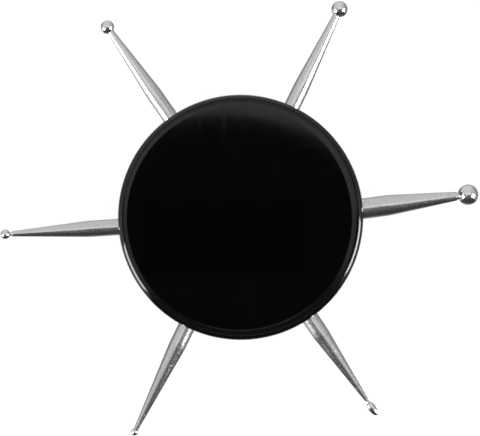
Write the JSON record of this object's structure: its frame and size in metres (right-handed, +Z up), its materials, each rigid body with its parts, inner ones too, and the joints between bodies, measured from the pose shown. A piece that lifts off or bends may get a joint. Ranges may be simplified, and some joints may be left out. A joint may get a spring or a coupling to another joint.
{
  "type": "six-tip ball stylus",
  "caption": "Round black puck handle with tapered steel styluses around its edge, graded ball tips and a teardrop tip, for dotting and embossing.",
  "frame": {"origin": "centre of the puck's flat underside", "axes": "+Z up out of the black face, along the puck's axis; +X towards the largest ball, +Y to its left seen from above"},
  "size_m": [0.0985, 0.0895, 0.013],
  "materials": {
    "face": "high-gloss moulded black",
    "shell": "polished moulded black",
    "core": "as moulded, grey",
    "shaft": "plated over a turned surface, faint grain",
    "tip": "mirror polished",
    "screw": "zinc plated"
  },
  "bodies": {
    "root": {"face_disc": "face", "top_shell": "shell", "base_shell": "shell", "hub_core": "core", "shaft_largest": "shaft", "shaft_large": "shaft", "shaft_medium": "shaft", "shaft_small": "shaft", "shaft_smallest": "shaft", "shaft_teardrop": "shaft", "tip_largest": "tip", "tip_large": "tip", "tip_medium": "tip", "tip_small": "tip", "tip_smallest": "tip", "tip_teardrop": "tip", "screw_left": "screw", "screw_front": "screw", "screw_right": "screw"}
  },
  "joints": []
}
